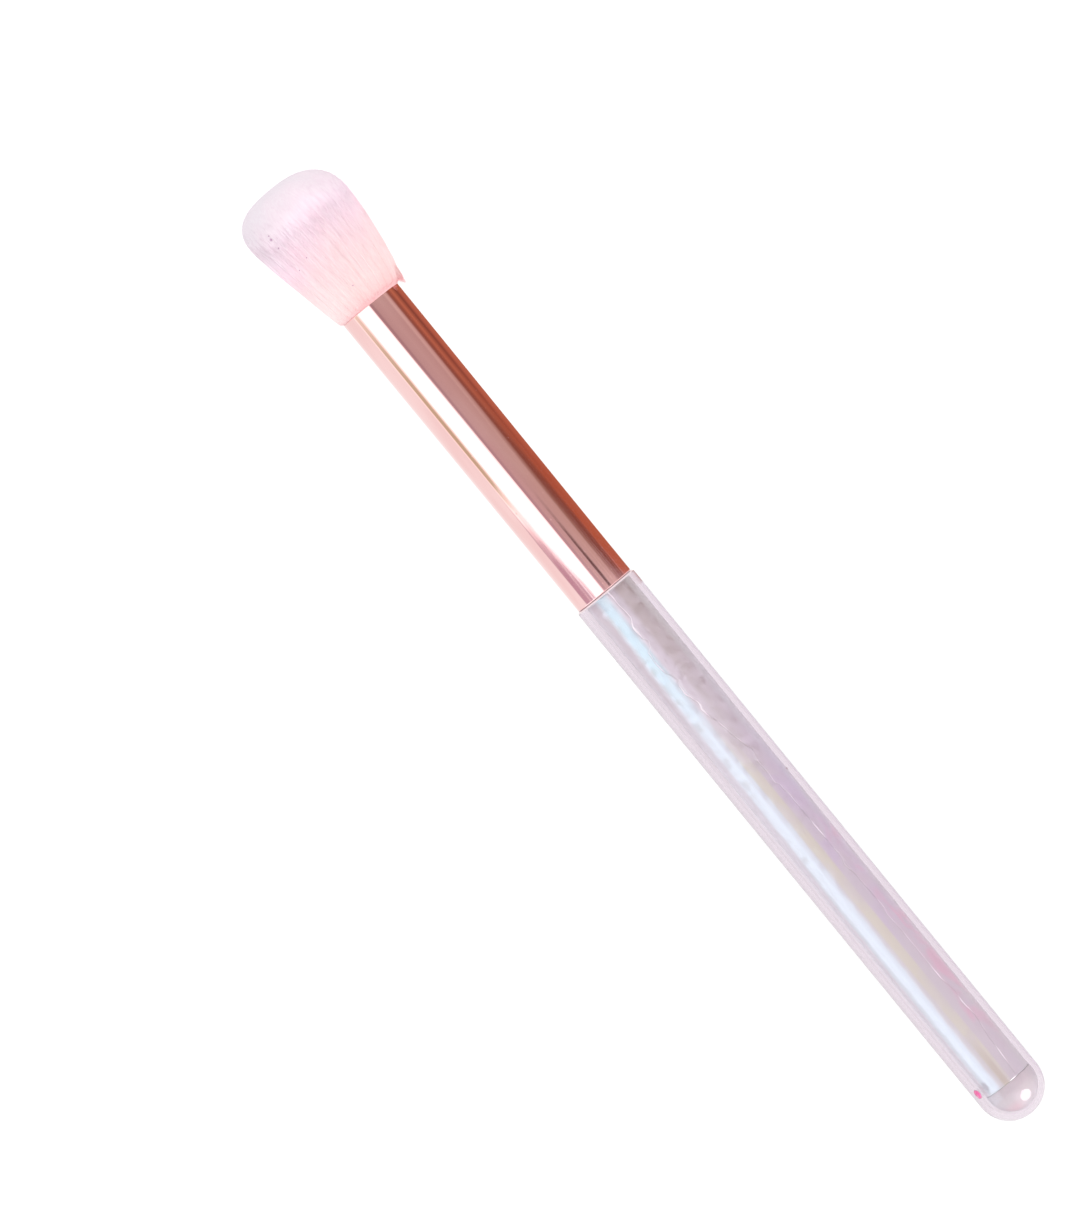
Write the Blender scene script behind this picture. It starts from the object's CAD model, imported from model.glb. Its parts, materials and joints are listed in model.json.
"""Dressed scene of a cosmetic brush: clear film-lined handle, rose-gold ferrule and soft tuft."""

import json
import logging
import math
import random
from dataclasses import dataclass, field
from enum import Enum
from functools import partial, reduce
from typing import Mapping, Sequence

import bmesh
import bpy
from mathutils import Matrix, Vector, noise


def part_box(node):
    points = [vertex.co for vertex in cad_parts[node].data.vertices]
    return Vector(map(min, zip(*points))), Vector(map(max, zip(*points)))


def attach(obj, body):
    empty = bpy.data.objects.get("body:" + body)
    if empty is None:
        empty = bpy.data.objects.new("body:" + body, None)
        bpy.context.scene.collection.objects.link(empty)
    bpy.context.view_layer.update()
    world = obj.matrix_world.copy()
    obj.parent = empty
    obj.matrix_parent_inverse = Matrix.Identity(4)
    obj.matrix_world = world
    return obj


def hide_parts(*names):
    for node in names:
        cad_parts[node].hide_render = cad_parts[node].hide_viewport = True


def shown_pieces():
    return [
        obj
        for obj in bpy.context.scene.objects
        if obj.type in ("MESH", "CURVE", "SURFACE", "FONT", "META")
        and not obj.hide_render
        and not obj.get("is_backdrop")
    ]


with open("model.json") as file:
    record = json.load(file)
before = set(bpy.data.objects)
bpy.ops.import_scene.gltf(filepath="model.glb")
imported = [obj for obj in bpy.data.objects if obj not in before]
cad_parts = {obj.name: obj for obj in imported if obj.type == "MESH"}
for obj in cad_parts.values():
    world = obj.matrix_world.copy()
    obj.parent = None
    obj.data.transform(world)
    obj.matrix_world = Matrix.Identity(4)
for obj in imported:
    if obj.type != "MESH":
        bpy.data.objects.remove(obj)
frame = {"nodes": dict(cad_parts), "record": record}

logging.basicConfig(level=logging.INFO, format="%(levelname)s %(message)s")
log = logging.getLogger("brush_scene")

Triple = tuple[float, float, float]
Colour = Triple
Point = tuple[float, float]
Stop = tuple[float, Colour]
Band = tuple[float, float, float, float]
Socket = bpy.types.NodeSocket
Shape = bmesh.types.BMesh

MILLIMETRE = 0.001
AXIS = Vector((1.0, 0.0, 0.0))
WHITE = (1.0, 1.0, 1.0)
# Shares at which a straight run keeps a point close to each end, so that shading stays in place
END_HOLD = 0.0004
# Halves of a band that has no start or no end
NO_START = (-99.0, -98.0)
NO_END = (98.0, 99.0)
# Part of half a turn between one short fibre and the next, which spreads them evenly
GOLDEN_TURN = 3.0 - math.sqrt(5.0)
# The Mix node's factor and its two colours among its inputs, and its colour among its outputs
MIX_INPUTS = (0, 6, 7)
MIX_OUTPUT = 2
THIN_FILM = {"Thin Film Thickness": 430.0, "Thin Film IOR": 1.45}


class Slot(Enum):
    """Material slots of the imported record."""

    TUBE = "clear_acrylic"
    FILM = "pearl_film"
    FERRULE = "rose_gold"
    BRISTLE = "peach_bristle"


def tone(*display: float) -> Colour:
    """Turn a display colour into the linear colour that shaders take.

    Args:
        display: Its red, green and blue, 0 to 255.

    Returns:
        The linear colour, each part 0 to 1.
    """
    shares = (part / 255.0 for part in display)
    return tuple(one / 12.92 if one <= 0.04045 else ((one + 0.055) / 1.055) ** 2.4 for one in shares)


@dataclass(frozen=True)
class BrushPlan:
    """Places and sizes along the brush, in its own frame.

    The frame's X runs from the centre of the handle's round end towards the bristle tips, and
    its Z points up but for the tilt at which the brush lies.
    """

    matrix: Matrix
    tilt: float
    tube_radius: float
    tube_length: float
    ferrule_mouth: float
    rear_radius: float
    mouth_radius: float
    head_length: float

    @classmethod
    def from_frame(cls, record: dict) -> "BrushPlan":
        """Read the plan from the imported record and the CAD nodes' boxes.

        Args:
            record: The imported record.

        Returns:
            The plan.
        """
        grip = next(mount for mount in record["mounts"] if mount["name"] == "barrel_grip")
        along = Vector(grip["axis"]).normalized()
        length = grip["dims"]["length_mm"] * MILLIMETRE
        origin = Vector(grip["pos_m"]) - along * (length / 2.0)
        side = Vector((0.0, 1.0, 0.0))
        turn = Matrix((along, side, along.cross(side))).transposed().to_4x4()
        sleeve_low, sleeve_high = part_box("ferrule")
        head_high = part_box("bristle_tuft")[1]
        mouth_radius = (sleeve_high[1] - sleeve_low[1]) / 2.0
        mouth = (sleeve_high[0] - origin.x - mouth_radius * along.z) / along.x
        return cls(
            matrix=Matrix.Translation(origin) @ turn,
            tilt=math.asin(along.z),
            tube_radius=grip["dims"]["r_mm"] * MILLIMETRE,
            tube_length=length,
            ferrule_mouth=mouth,
            rear_radius=mouth_radius * Ferrule.rear_share,
            mouth_radius=mouth_radius,
            head_length=(head_high[0] - origin.x) / along.x - mouth,
        )


class Pen:
    """Writes a node tree, with short calls for the nodes that the finishes use."""

    def __init__(self, tree: bpy.types.NodeTree, plan: BrushPlan) -> None:
        """Start on a tree, with the brush's plan at hand."""
        self.tree, self.plan = tree, plan

    def fill(self, node: bpy.types.Node, values: Mapping[str | int, object]) -> None:
        """Feed a node's inputs.

        Args:
            node: The node.
            values: A socket, number or colour for each input, or None to leave it.
        """
        for name, value in values.items():
            target = node.inputs[name]
            if isinstance(value, Socket):
                self.tree.links.new(value, target)
            elif value is not None:
                target.default_value = (*value, 1.0) if target.type == "RGBA" else value

    def shade(self, values: Mapping[str, object]) -> None:
        """Feed the Principled shader's inputs."""
        self.fill(self.tree.nodes["Principled BSDF"], values)

    def node(self, kind: str, values: Mapping[str | int, object], **settings: object) -> bpy.types.Node:
        """Add a node.

        Args:
            kind: The node's type name, after ShaderNode.
            values: What its inputs take.
            settings: Properties to set on it.

        Returns:
            The node.
        """
        made = self.tree.nodes.new("ShaderNode" + kind)
        for name, value in settings.items():
            setattr(made, name, value)
        self.fill(made, values)
        return made

    def place(self) -> Socket:
        """Give coordinates in the brush's own frame.

        Returns:
            The socket with the coordinates, in metres.
        """
        matrix = self.plan.matrix
        values = {"Location": matrix.translation, "Rotation": matrix.to_euler()}
        values["Vector"] = self.node("TexCoord", {}).outputs["Object"]
        return self.node("Mapping", values, vector_type="TEXTURE").outputs["Vector"]

    def split(self, vector: Socket) -> tuple[Socket, ...]:
        """Split a vector into its x, y and z."""
        return tuple(self.node("SeparateXYZ", {0: vector}).outputs)

    def math(self, operation: str, *values: object) -> Socket:
        """Work out a value from up to three sockets or numbers."""
        return self.node("Math", dict(enumerate(values)), operation=operation).outputs[0]

    def times(self, *values: object) -> Socket:
        """Multiply sockets or numbers."""
        return reduce(partial(self.math, "MULTIPLY"), values)

    def span(
        self, value: object, low: float, high: float, to_low: float = 0.0, to_high: float = 1.0,
    ) -> Socket:
        """Map the range of a value from low to high onto another, clamped and smooth."""
        values = {"Value": value, "From Min": low, "From Max": high, "To Min": to_low, "To Max": to_high}
        return self.node("MapRange", values, interpolation_type="SMOOTHSTEP").outputs["Result"]

    def band(self, value: object, start: float, full: float, fade: float, end: float) -> Socket:
        """Give 1 where a value lies from full to fade, and 0 before start and after end."""
        return self.times(self.span(value, start, full), self.span(value, end, fade))

    def noise(self, where: Socket, scale: float | Colour, detail: float = 2.0, warp: float = 0.0) -> Socket:
        """Give a noise value.

        Args:
            where: Where to read it.
            scale: How often it changes in a metre, along all axes or along each.
            detail: Its octaves.
            warp: How far it is distorted.

        Returns:
            The noise's socket, about 0.5.
        """
        if isinstance(scale, tuple):
            where = self.node("VectorMath", {0: where, 1: scale}, operation="MULTIPLY").outputs[0]
            scale = 1.0
        values = {"Vector": where, "Scale": scale, "Detail": detail, "Distortion": warp}
        return self.node("TexNoise", values).outputs["Fac"]

    def ramp(self, value: object, stops: Sequence[Stop]) -> Socket:
        """Colour a value.

        Args:
            value: The value's socket, 0 to 1.
            stops: Places and colours along it.

        Returns:
            The colour's socket.
        """
        made = self.node("ValToRGB", {0: value})
        elements = made.color_ramp.elements
        for index in (0, -1):
            elements[index].position, elements[index].color = stops[index][0], (*stops[index][1], 1.0)
        for place, colour in stops[1:-1]:
            elements.new(place).color = (*colour, 1.0)
        return made.outputs[0]

    def mix(self, factor: object, first: object, second: object, blend: str = "MIX") -> Socket:
        """Mix two colours, the second one by the factor."""
        values = dict(zip(MIX_INPUTS, (factor, first, second)))
        return self.node("Mix", values, data_type="RGBA", blend_type=blend).outputs[MIX_OUTPUT]

    def bump(self, height: Socket, strength: float, distance: float, under: object = None) -> Socket:
        """Turn a height into a normal, laid on the one under it."""
        values = {"Height": height, "Strength": strength, "Distance": distance, "Normal": under}
        return self.node("Bump", values).outputs["Normal"]


class Finish:
    """A procedural material, built once and shared."""

    name: str = "finish"

    def build(self, plan: BrushPlan) -> bpy.types.Material:
        """Make the material.

        Args:
            plan: The brush's plan.

        Returns:
            The material.
        """
        material = bpy.data.materials.get(self.name)
        if not material:
            material = bpy.data.materials.new(self.name)
            material.use_nodes = True
            self.paint(Pen(material.node_tree, plan))
        return material

    def paint(self, pen: Pen) -> None:
        """Write the material's nodes."""
        raise NotImplementedError


@dataclass(frozen=True)
class ClearAcrylic(Finish):
    """Clear plastic with a faint pink tint, moulding waves, hairline scratches and a sawn lip."""

    name: str = "clear_acrylic_skin"
    clear: Colour = (0.985, 0.975, 0.985)
    volume: Colour = (0.74, 0.50, 0.68)
    density: float = 190.0
    sawn_from: float = 0.00032
    sawn_full: float = 0.00018
    sawn_tone: Colour = tone(234, 214, 218)
    sawn_roughness: float = 0.3
    wear: Band = (0.62, 0.74, 0.015, 0.09)

    def paint(self, pen: Pen) -> None:
        """Write the clear plastic's nodes.

        Args:
            pen: The pen on its tree.
        """
        where, mouth = pen.place(), pen.plan.tube_length
        sawn = pen.span(pen.split(where)[0], mouth - self.sawn_from, mouth - self.sawn_full)
        worn = pen.span(pen.noise(where, (120.0, 2600.0, 2600.0), detail=3.0), *self.wear)
        waves = pen.noise(where, 260.0)
        pen.shade({
            "IOR": 1.49,
            "Base Color": pen.mix(sawn, self.clear, self.sawn_tone),
            "Roughness": pen.math("MULTIPLY_ADD", sawn, self.sawn_roughness, worn),
            "Transmission Weight": pen.math("SUBTRACT", 1.0, sawn),
            "Normal": pen.bump(waves, strength=0.25, distance=0.00001),
        })
        tinted = pen.node("VolumeAbsorption", {"Color": self.volume, "Density": self.density})
        pen.fill(pen.tree.nodes["Material Output"], {"Volume": tinted.outputs[0]})


@dataclass(frozen=True)
class FilmPatch:
    """A soft patch of colour on the film.

    Its bands run round the roll, in turns, and along it, in shares of the tube's length. Its
    mottle maps blotches to how much of it shows, and it may drift with the roll's colours.
    """

    tint: Colour
    across: Band
    along: Band
    mottle: Band = (0.0, 1.0, 1.0, 1.0)
    drifts: bool = True


@dataclass(frozen=True)
class PearlFilm(Finish):
    """Pearly film: colours that change round the roll and along it, with crinkles."""

    name: str = "pearl_film_skin"
    round_stops: tuple[Stop, ...] = (
        (0.000, tone(238, 240, 238)), (0.300, tone(235, 234, 234)), (0.350, tone(232, 232, 236)),
        (0.430, tone(234, 236, 236)), (0.480, tone(238, 242, 238)), (0.512, tone(240, 246, 242)),
        (0.527, tone(240, 254, 255)), (0.608, tone(243, 255, 255)), (0.628, tone(242, 240, 241)),
        (0.655, tone(246, 242, 243)), (0.690, tone(255, 253, 254)), (1.000, tone(244, 242, 243)),
    )
    winding: Band = (0.0, 0.95, -0.034, 0.018)
    drift: float = 0.015
    lilac: FilmPatch = FilmPatch(
        tone(232, 226, 244), (0.27, 0.33, 0.43, 0.49), (0.20, 0.40, 0.56, 0.76), (0.35, 0.60, 0.2, 0.8),
    )
    pink: FilmPatch = FilmPatch(
        tone(248, 214, 228), (0.27, 0.31, 0.38, 0.42), (0.03, 0.17, 0.43, 0.57), (0.46, 0.62, 0.1, 0.95),
    )
    tan: FilmPatch = FilmPatch(
        tone(242, 248, 224), (0.464, 0.480, 0.516, 0.532), (-0.03, 0.07, 0.65, 0.75),
        (0.30, 0.55, 0.35, 0.85), drifts=False,
    )
    grey: FilmPatch = FilmPatch(
        tone(222, 221, 214), (*NO_START, 0.49, 0.53), (0.74, 0.95, *NO_END), (0.0, 1.0, 0.85, 0.85),
    )
    cyan: FilmPatch = FilmPatch(
        tone(222, 252, 255), (0.52, 0.54, 0.59, 0.61), (0.70, 0.90, *NO_END), (0.0, 1.0, 0.8, 0.8),
    )
    dusk: FilmPatch = FilmPatch(
        tone(226, 226, 207), (0.480, 0.496, 0.512, 0.528), (*NO_START, 0.03, 0.11), drifts=False,
    )
    dawn: FilmPatch = FilmPatch(
        tone(250, 253, 255), (0.435, 0.475, 0.492, 0.532), (0.55, 0.85, *NO_END), drifts=False,
    )

    def paint(self, pen: Pen) -> None:
        """Write the film's nodes.

        Args:
            pen: The pen on its tree.
        """
        where = pen.place()
        x, y, z = pen.split(where)
        share = pen.math("DIVIDE", x, pen.plan.tube_length)
        turn = pen.math("ADD", pen.math("DIVIDE", pen.math("ARCTAN2", y, z), math.tau), 0.5)
        broad = pen.noise(where, (38.0, 320.0, 320.0), detail=3.0, warp=0.6)
        drifting = pen.math("MULTIPLY_ADD", broad, 2.0 * self.drift, -self.drift)
        drifting = pen.math("ADD", pen.math("ADD", turn, pen.span(share, *self.winding)), drifting)
        blotches = pen.noise(where, (150.0, 300.0, 300.0), warp=0.5)
        colour = pen.ramp(drifting, self.round_stops)
        for patch in (self.lilac, self.pink, self.tan, self.grey, self.cyan, self.dusk, self.dawn):
            across = pen.band(drifting if patch.drifts else turn, *patch.across)
            shows = pen.times(across, pen.band(share, *patch.along), pen.span(blotches, *patch.mottle))
            colour = pen.mix(shows, colour, patch.tint)
        crinkle = pen.noise(where, (420.0, 900.0, 900.0), detail=4.0, warp=0.8)
        pen.shade({
            "Base Color": colour, "Metallic": 0.24, "Roughness": 0.14, **THIN_FILM,
            "Normal": pen.bump(crinkle, strength=0.35, distance=0.00005),
        })


@dataclass(frozen=True)
class FilmEdge(Finish):
    """The film's cut edge, which catches the light."""

    name: str = "film_edge_skin"

    def paint(self, pen: Pen) -> None:
        """Write the edge's nodes.

        Args:
            pen: The pen on its tree.
        """
        flash = pen.span(pen.noise(pen.place(), 620.0), 0.40, 0.60)
        pen.shade({
            "Base Color": pen.mix(flash, tone(240, 230, 238), tone(255, 253, 255)),
            "Roughness": 0.25, "Specular IOR Level": 1.0, "Coat Weight": 0.5,
            "Emission Color": (0.94, 1.0, 0.97), "Emission Strength": 0.42,
        })


@dataclass(frozen=True)
class EndPearl(Finish):
    """Pearly lining of the bore's round end, pinker low on its +Y side."""

    name: str = "end_pearl_skin"
    pink: Colour = tone(244, 206, 212)
    pink_share: float = 0.6
    pink_along: Point = (-0.0012, -0.0030)
    pink_across: Point = (-0.0008, 0.0012)

    def paint(self, pen: Pen) -> None:
        """Write the lining's nodes.

        Args:
            pen: The pen on its tree.
        """
        where = pen.place()
        x, y, z = pen.split(where)
        cloud = pen.noise(where, 420.0, detail=3.0, warp=0.6)
        base = pen.mix(pen.span(cloud, 0.35, 0.68), tone(231, 228, 228), tone(239, 236, 236))
        low = pen.times(pen.span(x, *self.pink_along), pen.span(y, *self.pink_across), self.pink_share)
        pen.shade({
            "Base Color": pen.mix(low, base, self.pink), "Roughness": 0.34, **THIN_FILM,
            "Normal": pen.bump(cloud, strength=0.3, distance=0.00005),
        })


@dataclass(frozen=True)
class RoseGold(Finish):
    """Polished rose-gold metal with fine draw lines, faint scratches and a few pits."""

    name: str = "rose_gold_skin"
    base: Colour = tone(250, 212, 210)
    deep: Colour = tone(246, 204, 202)

    def paint(self, pen: Pen) -> None:
        """Write the metal's nodes.

        Args:
            pen: The pen on its tree.
        """
        where = pen.place()
        cloud = pen.noise(where, (60.0, 260.0, 260.0), detail=3.0)
        lines = pen.noise(where, (45.0, 5200.0, 5200.0), detail=3.0)
        pits = pen.span(pen.noise(where, 2600.0), 0.70, 0.80, 0.0, 0.12)
        dents = pen.bump(pen.noise(where, (90.0, 420.0, 420.0)), strength=0.12, distance=0.00005)
        pen.shade({
            "Base Color": pen.mix(pen.span(cloud, 0.35, 0.65), self.base, self.deep), "Metallic": 1.0,
            "Roughness": pen.math("ADD", pen.span(lines, 0.35, 0.75, 0.03, 0.06), pits),
            "Normal": pen.bump(lines, strength=0.10, distance=0.000004, under=dents),
        })


@dataclass(frozen=True)
class BristleFibre(Finish):
    """Fine synthetic fibre: peach at the mouth, pink in the middle, lavender white at the tips."""

    radius: float
    name: str = "bristle_skin"
    stops: tuple[Stop, ...] = (
        (0.000, tone(251, 200, 202)), (0.040, tone(255, 220, 219)), (0.130, tone(255, 231, 230)),
        (0.380, tone(255, 231, 234)), (0.600, tone(255, 233, 242)), (0.740, tone(252, 236, 245)),
        (0.860, tone(242, 228, 236)), (1.000, tone(236, 227, 234)),
    )
    pale: Colour = tone(255, 249, 249)
    shade: Colour = tone(252, 249, 251)
    wander: float = 0.12

    def paint(self, pen: Pen) -> None:
        """Write the fibre's nodes.

        Args:
            pen: The pen on its tree.
        """
        where = pen.place()
        x, y, z = pen.split(where)
        along = pen.math("DIVIDE", pen.math("SUBTRACT", x, pen.plan.ferrule_mouth), pen.plan.head_length)
        along = pen.math("ABSOLUTE", along)
        side = pen.math("DIVIDE", y, self.radius)
        lilac_side = pen.times(pen.span(side, 0.1, 1.0), pen.span(along, 0.12, 0.45, 0.0, 0.16))
        pale_side = pen.times(pen.span(side, 0.0, 0.8), pen.span(along, 0.50, 0.05, 0.0, 0.55))
        cloud = pen.noise(where, (120.0, 300.0, 300.0))
        wander = pen.math("MULTIPLY_ADD", cloud, 2.0 * self.wander, -self.wander)
        wander = pen.times(wander, pen.span(along, 0.06, 0.30))
        place = pen.math("ADD", pen.math("ADD", along, lilac_side), wander)
        colour = pen.mix(pale_side, pen.ramp(place, self.stops), self.pale)
        strands = pen.noise(where, (70.0, 4200.0, 4200.0))
        shade = pen.mix(pen.span(strands, 0.30, 0.70), self.shade, WHITE)
        pen.shade({
            "Base Color": pen.mix(1.0, colour, shade, "MULTIPLY"),
            "Roughness": 0.62, "Specular IOR Level": 0.25, "Sheen Weight": 0.15,
            "Normal": pen.bump(strands, strength=0.15, distance=0.00003),
        })


@dataclass(frozen=True)
class MouldedPlug(Finish):
    """Plain white moulded plastic."""

    name: str = "moulded_plug_skin"

    def paint(self, pen: Pen) -> None:
        """Write the plug's nodes.

        Args:
            pen: The pen on its tree.
        """
        grain = pen.noise(pen.place(), 1800.0, detail=3.0)
        pen.shade({
            "Base Color": pen.mix(pen.span(grain, 0.35, 0.65), tone(226, 222, 220), tone(238, 236, 234)),
            "Roughness": 0.5, "Normal": pen.bump(grain, strength=0.2, distance=0.00003),
        })


@dataclass(frozen=True)
class SetGlue(Finish):
    """Set amber glue with a few clouds and bubbles."""

    name: str = "set_glue_skin"

    def paint(self, pen: Pen) -> None:
        """Write the glue's nodes.

        Args:
            pen: The pen on its tree.
        """
        where = pen.place()
        cloud = pen.noise(where, 900.0, detail=3.0)
        bubbles = pen.noise(where, 4200.0, detail=1.0)
        colour = pen.mix(pen.span(cloud, 0.3, 0.7), tone(214, 190, 138), tone(230, 214, 172))
        pen.shade({
            "Base Color": pen.mix(pen.span(bubbles, 0.68, 0.76), colour, tone(244, 236, 214)),
            "Roughness": pen.span(cloud, 0.3, 0.7, 0.15, 0.35),
            "Normal": pen.bump(bubbles, strength=0.3, distance=0.00003),
        })


@dataclass(frozen=True)
class BindingThread(Finish):
    """Twisted thread wound round the bristle roots."""

    name: str = "binding_thread_skin"

    def paint(self, pen: Pen) -> None:
        """Write the thread's nodes.

        Args:
            pen: The pen on its tree.
        """
        where = pen.place()
        wave = {"Vector": where, "Scale": 1300.0, "Distortion": 0.6}
        turns = pen.node("TexWave", wave, bands_direction="X").outputs["Fac"]
        ply = pen.noise(where, (5200.0, 1600.0, 1600.0))
        colour = pen.mix(turns, tone(206, 200, 188), tone(236, 232, 222))
        pen.shade({
            "Base Color": pen.mix(pen.span(ply, 0.4, 0.7), colour, tone(222, 214, 200)),
            "Roughness": 0.85, "Normal": pen.bump(turns, strength=0.5, distance=0.00006),
        })


@dataclass(frozen=True)
class GlitterFoil(Finish):
    """A foil flake."""

    name: str = "pink_foil"
    base: Colour = tone(232, 96, 158)
    glow: Colour = tone(240, 150, 190)

    def paint(self, pen: Pen) -> None:
        """Write the flake's nodes."""
        sparkle = pen.mix(pen.span(pen.noise(pen.place(), 2400.0), 0.4, 0.7), self.base, self.glow)
        pen.shade({"Base Color": sparkle, "Metallic": 0.3, "Roughness": 0.3})


def arc(centre: Point, radius: float, start: float, end: float, steps: int) -> list[Point]:
    """Give points on an arc, whose angles are in degrees."""
    angles = [math.radians(start + (end - start) * step / steps) for step in range(steps + 1)]
    return [(centre[0] + radius * math.cos(angle), centre[1] + radius * math.sin(angle)) for angle in angles]


def held_steps(steps: int) -> list[float]:
    """Give the shares at which a straight run has points between its ends."""
    return [END_HOLD, *(step / steps for step in range(1, steps)), 1.0 - END_HOLD]


def ring_turns(sides: int) -> list[float]:
    """Give the angles of a ring's corners."""
    return [math.tau * side / sides for side in range(sides)]


def clamp(value: float, low: float = 0.0, high: float = 1.0) -> float:
    """Keep a value between two others."""
    return min(max(value, low), high)


def outward_at(angle: float) -> Vector:
    """Give the direction away from the brush's axis at an angle, from the +Y side to the top."""
    return Vector((0.0, math.cos(angle), math.sin(angle)))


def join_rows(shape: Shape, rows: Sequence[Sequence[bmesh.types.BMVert]], ring: bool = True) -> None:
    """Make the faces between rows of corners.

    Args:
        shape: The shape that holds the corners.
        rows: The rows, one after the other.
        ring: Whether each row closes on itself.
    """
    for lower, upper in zip(rows, rows[1:]):
        for near in range(len(lower) if ring else len(lower) - 1):
            after = (near + 1) % len(lower)
            shape.faces.new((lower[near], lower[after], upper[after], upper[near]))


def join_tip(shape: Shape, row: Sequence[bmesh.types.BMVert], tip: bmesh.types.BMVert) -> None:
    """Make the faces between a closed row of corners and a tip."""
    for near, after in zip(row, [*row[1:], row[0]]):
        shape.faces.new((near, after, tip))


def put(name: str, data: bpy.types.ID) -> bpy.types.Object:
    """Put an object in the scene.

    Args:
        name: The object's name.
        data: Its mesh, lamp or camera.

    Returns:
        The object.
    """
    thing = bpy.data.objects.new(name, data)
    bpy.context.scene.collection.objects.link(thing)
    return thing


def mesh_of(name: str, shape: Shape) -> bpy.types.Mesh:
    """Turn a shape, which is used up, into a mesh.

    Args:
        name: The mesh's name.
        shape: The shape.

    Returns:
        The mesh.
    """
    mesh = bpy.data.meshes.new(name)
    shape.to_mesh(mesh)
    shape.free()
    return mesh


class Piece:
    """A named mesh that rides with the brush."""

    def __init__(
        self, name: str, shape: Shape, plan: BrushPlan, finish: Finish, slot: Slot, smooth: bool = True,
    ) -> None:
        """Make the object.

        Args:
            name: The piece's name.
            shape: Its shape in the brush's own frame, which is used up.
            plan: The brush's plan.
            finish: Its finish.
            slot: The record's slot that it takes its finish from.
            smooth: Whether its faces shade as one curved surface.
        """
        bmesh.ops.recalc_face_normals(shape, faces=shape.faces)
        mesh = mesh_of(name, shape)
        if smooth:
            mesh.shade_smooth()
        mesh.materials.append(finish.build(plan))
        mesh.transform(plan.matrix)
        self.thing = put(name, mesh)
        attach(self.thing, "root")

    def crease(self, degrees: float) -> "Piece":
        """Keep the edges that turn by more than an angle sharp."""
        self.thing.data.set_sharp_from_angle(angle=math.radians(degrees))
        return self

    def stands_for(self, *nodes: str) -> "Piece":
        """Hide the CAD nodes that the piece stands for."""
        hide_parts(*nodes)
        return self


def spin(outline: Sequence[Point], sides: int, ring: bool = False) -> Shape:
    """Spin an outline about the brush's axis.

    Args:
        outline: Points along the brush and out from its axis.
        sides: How many steps the turn takes.
        ring: Whether the outline closes on itself.

    Returns:
        The turned shape.
    """
    shape = bmesh.new()
    corners = [shape.verts.new((x, 0.0, radius)) for x, radius in outline]
    pairs = list(zip(corners, corners[1:]))
    if ring:
        pairs.append((corners[-1], corners[0]))
    edges = [shape.edges.new(pair) for pair in pairs]
    bmesh.ops.spin(
        shape, geom=corners + edges, cent=Vector(), axis=AXIS, dvec=Vector(), angle=math.tau,
        steps=sides, use_merge=True,
    )
    bmesh.ops.remove_doubles(shape, verts=shape.verts, dist=MILLIMETRE / 2000.0)
    return shape


@dataclass
class ClearTube:
    """The handle's clear tube, with a round closed end."""

    plan: BrushPlan
    wall: float = 0.0009
    outer_lip: float = 0.00042
    inner_lip: float = 0.00015
    sides: int = 192
    dome_steps: int = 28
    lip_steps: int = 8
    barrel_steps: int = 48

    @property
    def bore(self) -> float:
        """Radius of the tube's bore."""
        return self.plan.tube_radius - self.wall

    def build(self) -> None:
        """Make the tube, from its round end over the mouth and back down the bore."""
        outer, mouth = self.plan.tube_radius, self.plan.tube_length
        shoulder, sill = mouth - self.outer_lip, mouth - self.inner_lip
        shares = held_steps(self.barrel_steps)
        outline = arc((0.0, 0.0), outer, 180.0, 90.0, self.dome_steps)
        outline += [(shoulder * share, outer) for share in shares]
        outline += arc((shoulder, outer - self.outer_lip), self.outer_lip, 90.0, 0.0, self.lip_steps)
        outline += arc((sill, self.bore + self.inner_lip), self.inner_lip, 0.0, -90.0, self.lip_steps)
        outline += [(sill - sill * share, self.bore) for share in shares]
        outline += arc((0.0, 0.0), self.bore, 90.0, 180.0, self.dome_steps)
        tube = Piece("clear_tube", spin(outline, self.sides), self.plan, ClearAcrylic(), Slot.TUBE)
        tube.crease(40.0).stands_for("handle_tube")


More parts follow.
